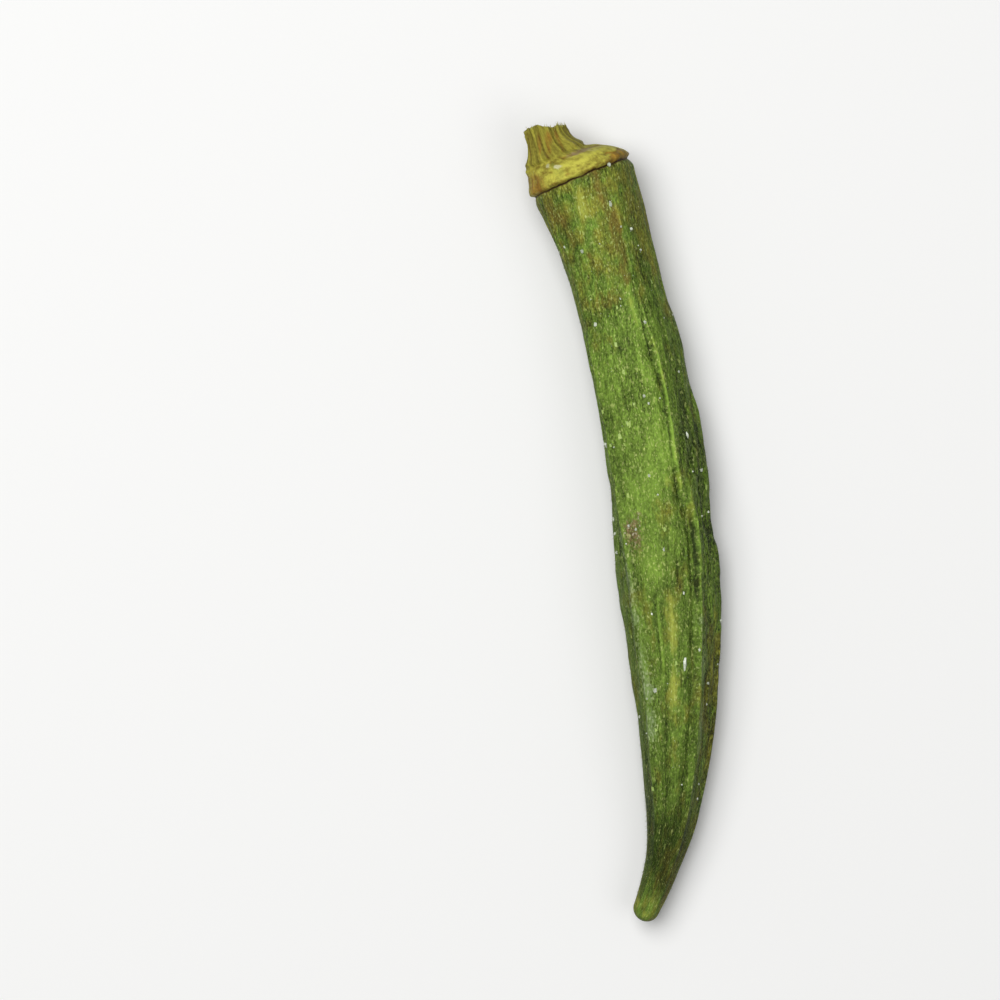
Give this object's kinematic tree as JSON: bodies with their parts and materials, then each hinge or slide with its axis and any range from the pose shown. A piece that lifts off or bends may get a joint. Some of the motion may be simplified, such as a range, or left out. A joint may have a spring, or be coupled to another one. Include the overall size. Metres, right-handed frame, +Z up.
{
  "type": "okra pod",
  "caption": "Whole dried okra pod lying on its side: a slim, bowed, ribbed seed pod tapering to a blunt tip, with its collar and a cut stem stub.",
  "frame": {"origin": "middle of the box under the pod, on the surface that it lies on", "axes": "+Y along the pod towards its cut stem, +X towards the side that it bows out to, +Z up"},
  "size_m": [0.016, 0.0884, 0.0111],
  "materials": {
    "okra_skin": "matt, fibrous dried skin, green to olive, with pale salt grains"
  },
  "bodies": {
    "root": {"okra_pod": "okra_skin"}
  },
  "joints": []
}
